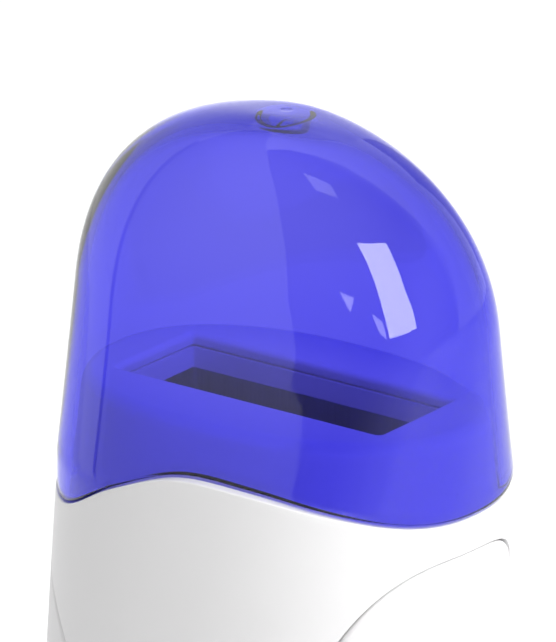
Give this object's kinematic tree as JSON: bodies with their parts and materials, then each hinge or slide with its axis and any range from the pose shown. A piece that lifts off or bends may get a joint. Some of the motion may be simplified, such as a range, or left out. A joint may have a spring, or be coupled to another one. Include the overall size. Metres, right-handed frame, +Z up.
{
  "type": "roll-on wax heater",
  "caption": "Hand-held roll-on wax heater: upright oval white body with a cartridge slot in its top deck, front button and level window, under a clear tinted dome cap with a wavy lower edge.",
  "frame": {"origin": "on the table, under the middle of the foot's outline", "axes": "+Z up along the body; the front with the button and window faces -Y; +X to the right of a viewer facing the front"},
  "size_m": [0.0828, 0.0646, 0.18],
  "materials": {
    "cap_plastic": "clear blue-violet tint, polished",
    "white_plastic": "satin",
    "body_plastic": "satin",
    "panel_plastic": "fine matt",
    "clear_window": "clear, polished",
    "lamp_plastic": "diffusing, satin",
    "button_plastic": "satin",
    "switch_plastic": "moulded",
    "black_plastic": "moulded",
    "board": "solder mask",
    "steel": "zinc plated",
    "aluminium": "drawn, dull",
    "spring_steel": "rolled",
    "ceramic_plastic": "moulded, heat resistant",
    "heater_film": "insulating film over aluminium",
    "insulation": "mica and felt sheet",
    "fuse_sleeve": "woven glass sleeve",
    "contact_brass": "nickel plated",
    "mains_wire": "insulated",
    "red_wire": "insulated",
    "white_wire": "insulated, heat resistant",
    "rubber": "moulded"
  },
  "bodies": {
    "heater": {"top_deck": "white_plastic", "body_shell": "body_plastic", "side_panel_right": "panel_plastic", "side_panel_left": "panel_plastic", "window_lens": "clear_window", "window_tunnel": "white_plastic", "indicator_lens": "lamp_plastic", "push_switch": "black_plastic", "indicator_lamp": "lamp_plastic", "control_board": "board", "board_screws": "steel", "chamber_collar": "white_plastic", "collar_screws": "steel", "heating_chamber": "aluminium", "cartridge_springs": "spring_steel", "chamber_floor": "ceramic_plastic", "heater_packs": "heater_film", "heater_clamps": "spring_steel", "clamp_rivets": "steel", "insulation_sheet": "insulation", "thermostat": "black_plastic", "thermal_fuse": "fuse_sleeve", "inlet_housing": "black_plastic", "inlet_pins": "contact_brass", "terminal_block": "ceramic_plastic", "mains_leads": "mains_wire", "switch_leads": "red_wire", "heater_leads": "white_wire", "sensor_leads": "white_wire", "base_plate": "white_plastic", "base_screws": "steel", "rubber_feet": "rubber"},
    "cap": {"cap": "cap_plastic"},
    "button": {"power_button": "button_plastic", "switch_plunger": "switch_plastic"}
  },
  "joints": [
    {"name": "cap_lift", "type": "slide", "parent": "heater", "child": "cap", "axis": [0, 0, 1], "range_m": [0, 0.06]},
    {"name": "button_press", "type": "slide", "parent": "heater", "child": "button", "axis": [0, 1, 0], "range_m": [0, 0.001], "stiffness_N_per_m": 600}
  ]
}
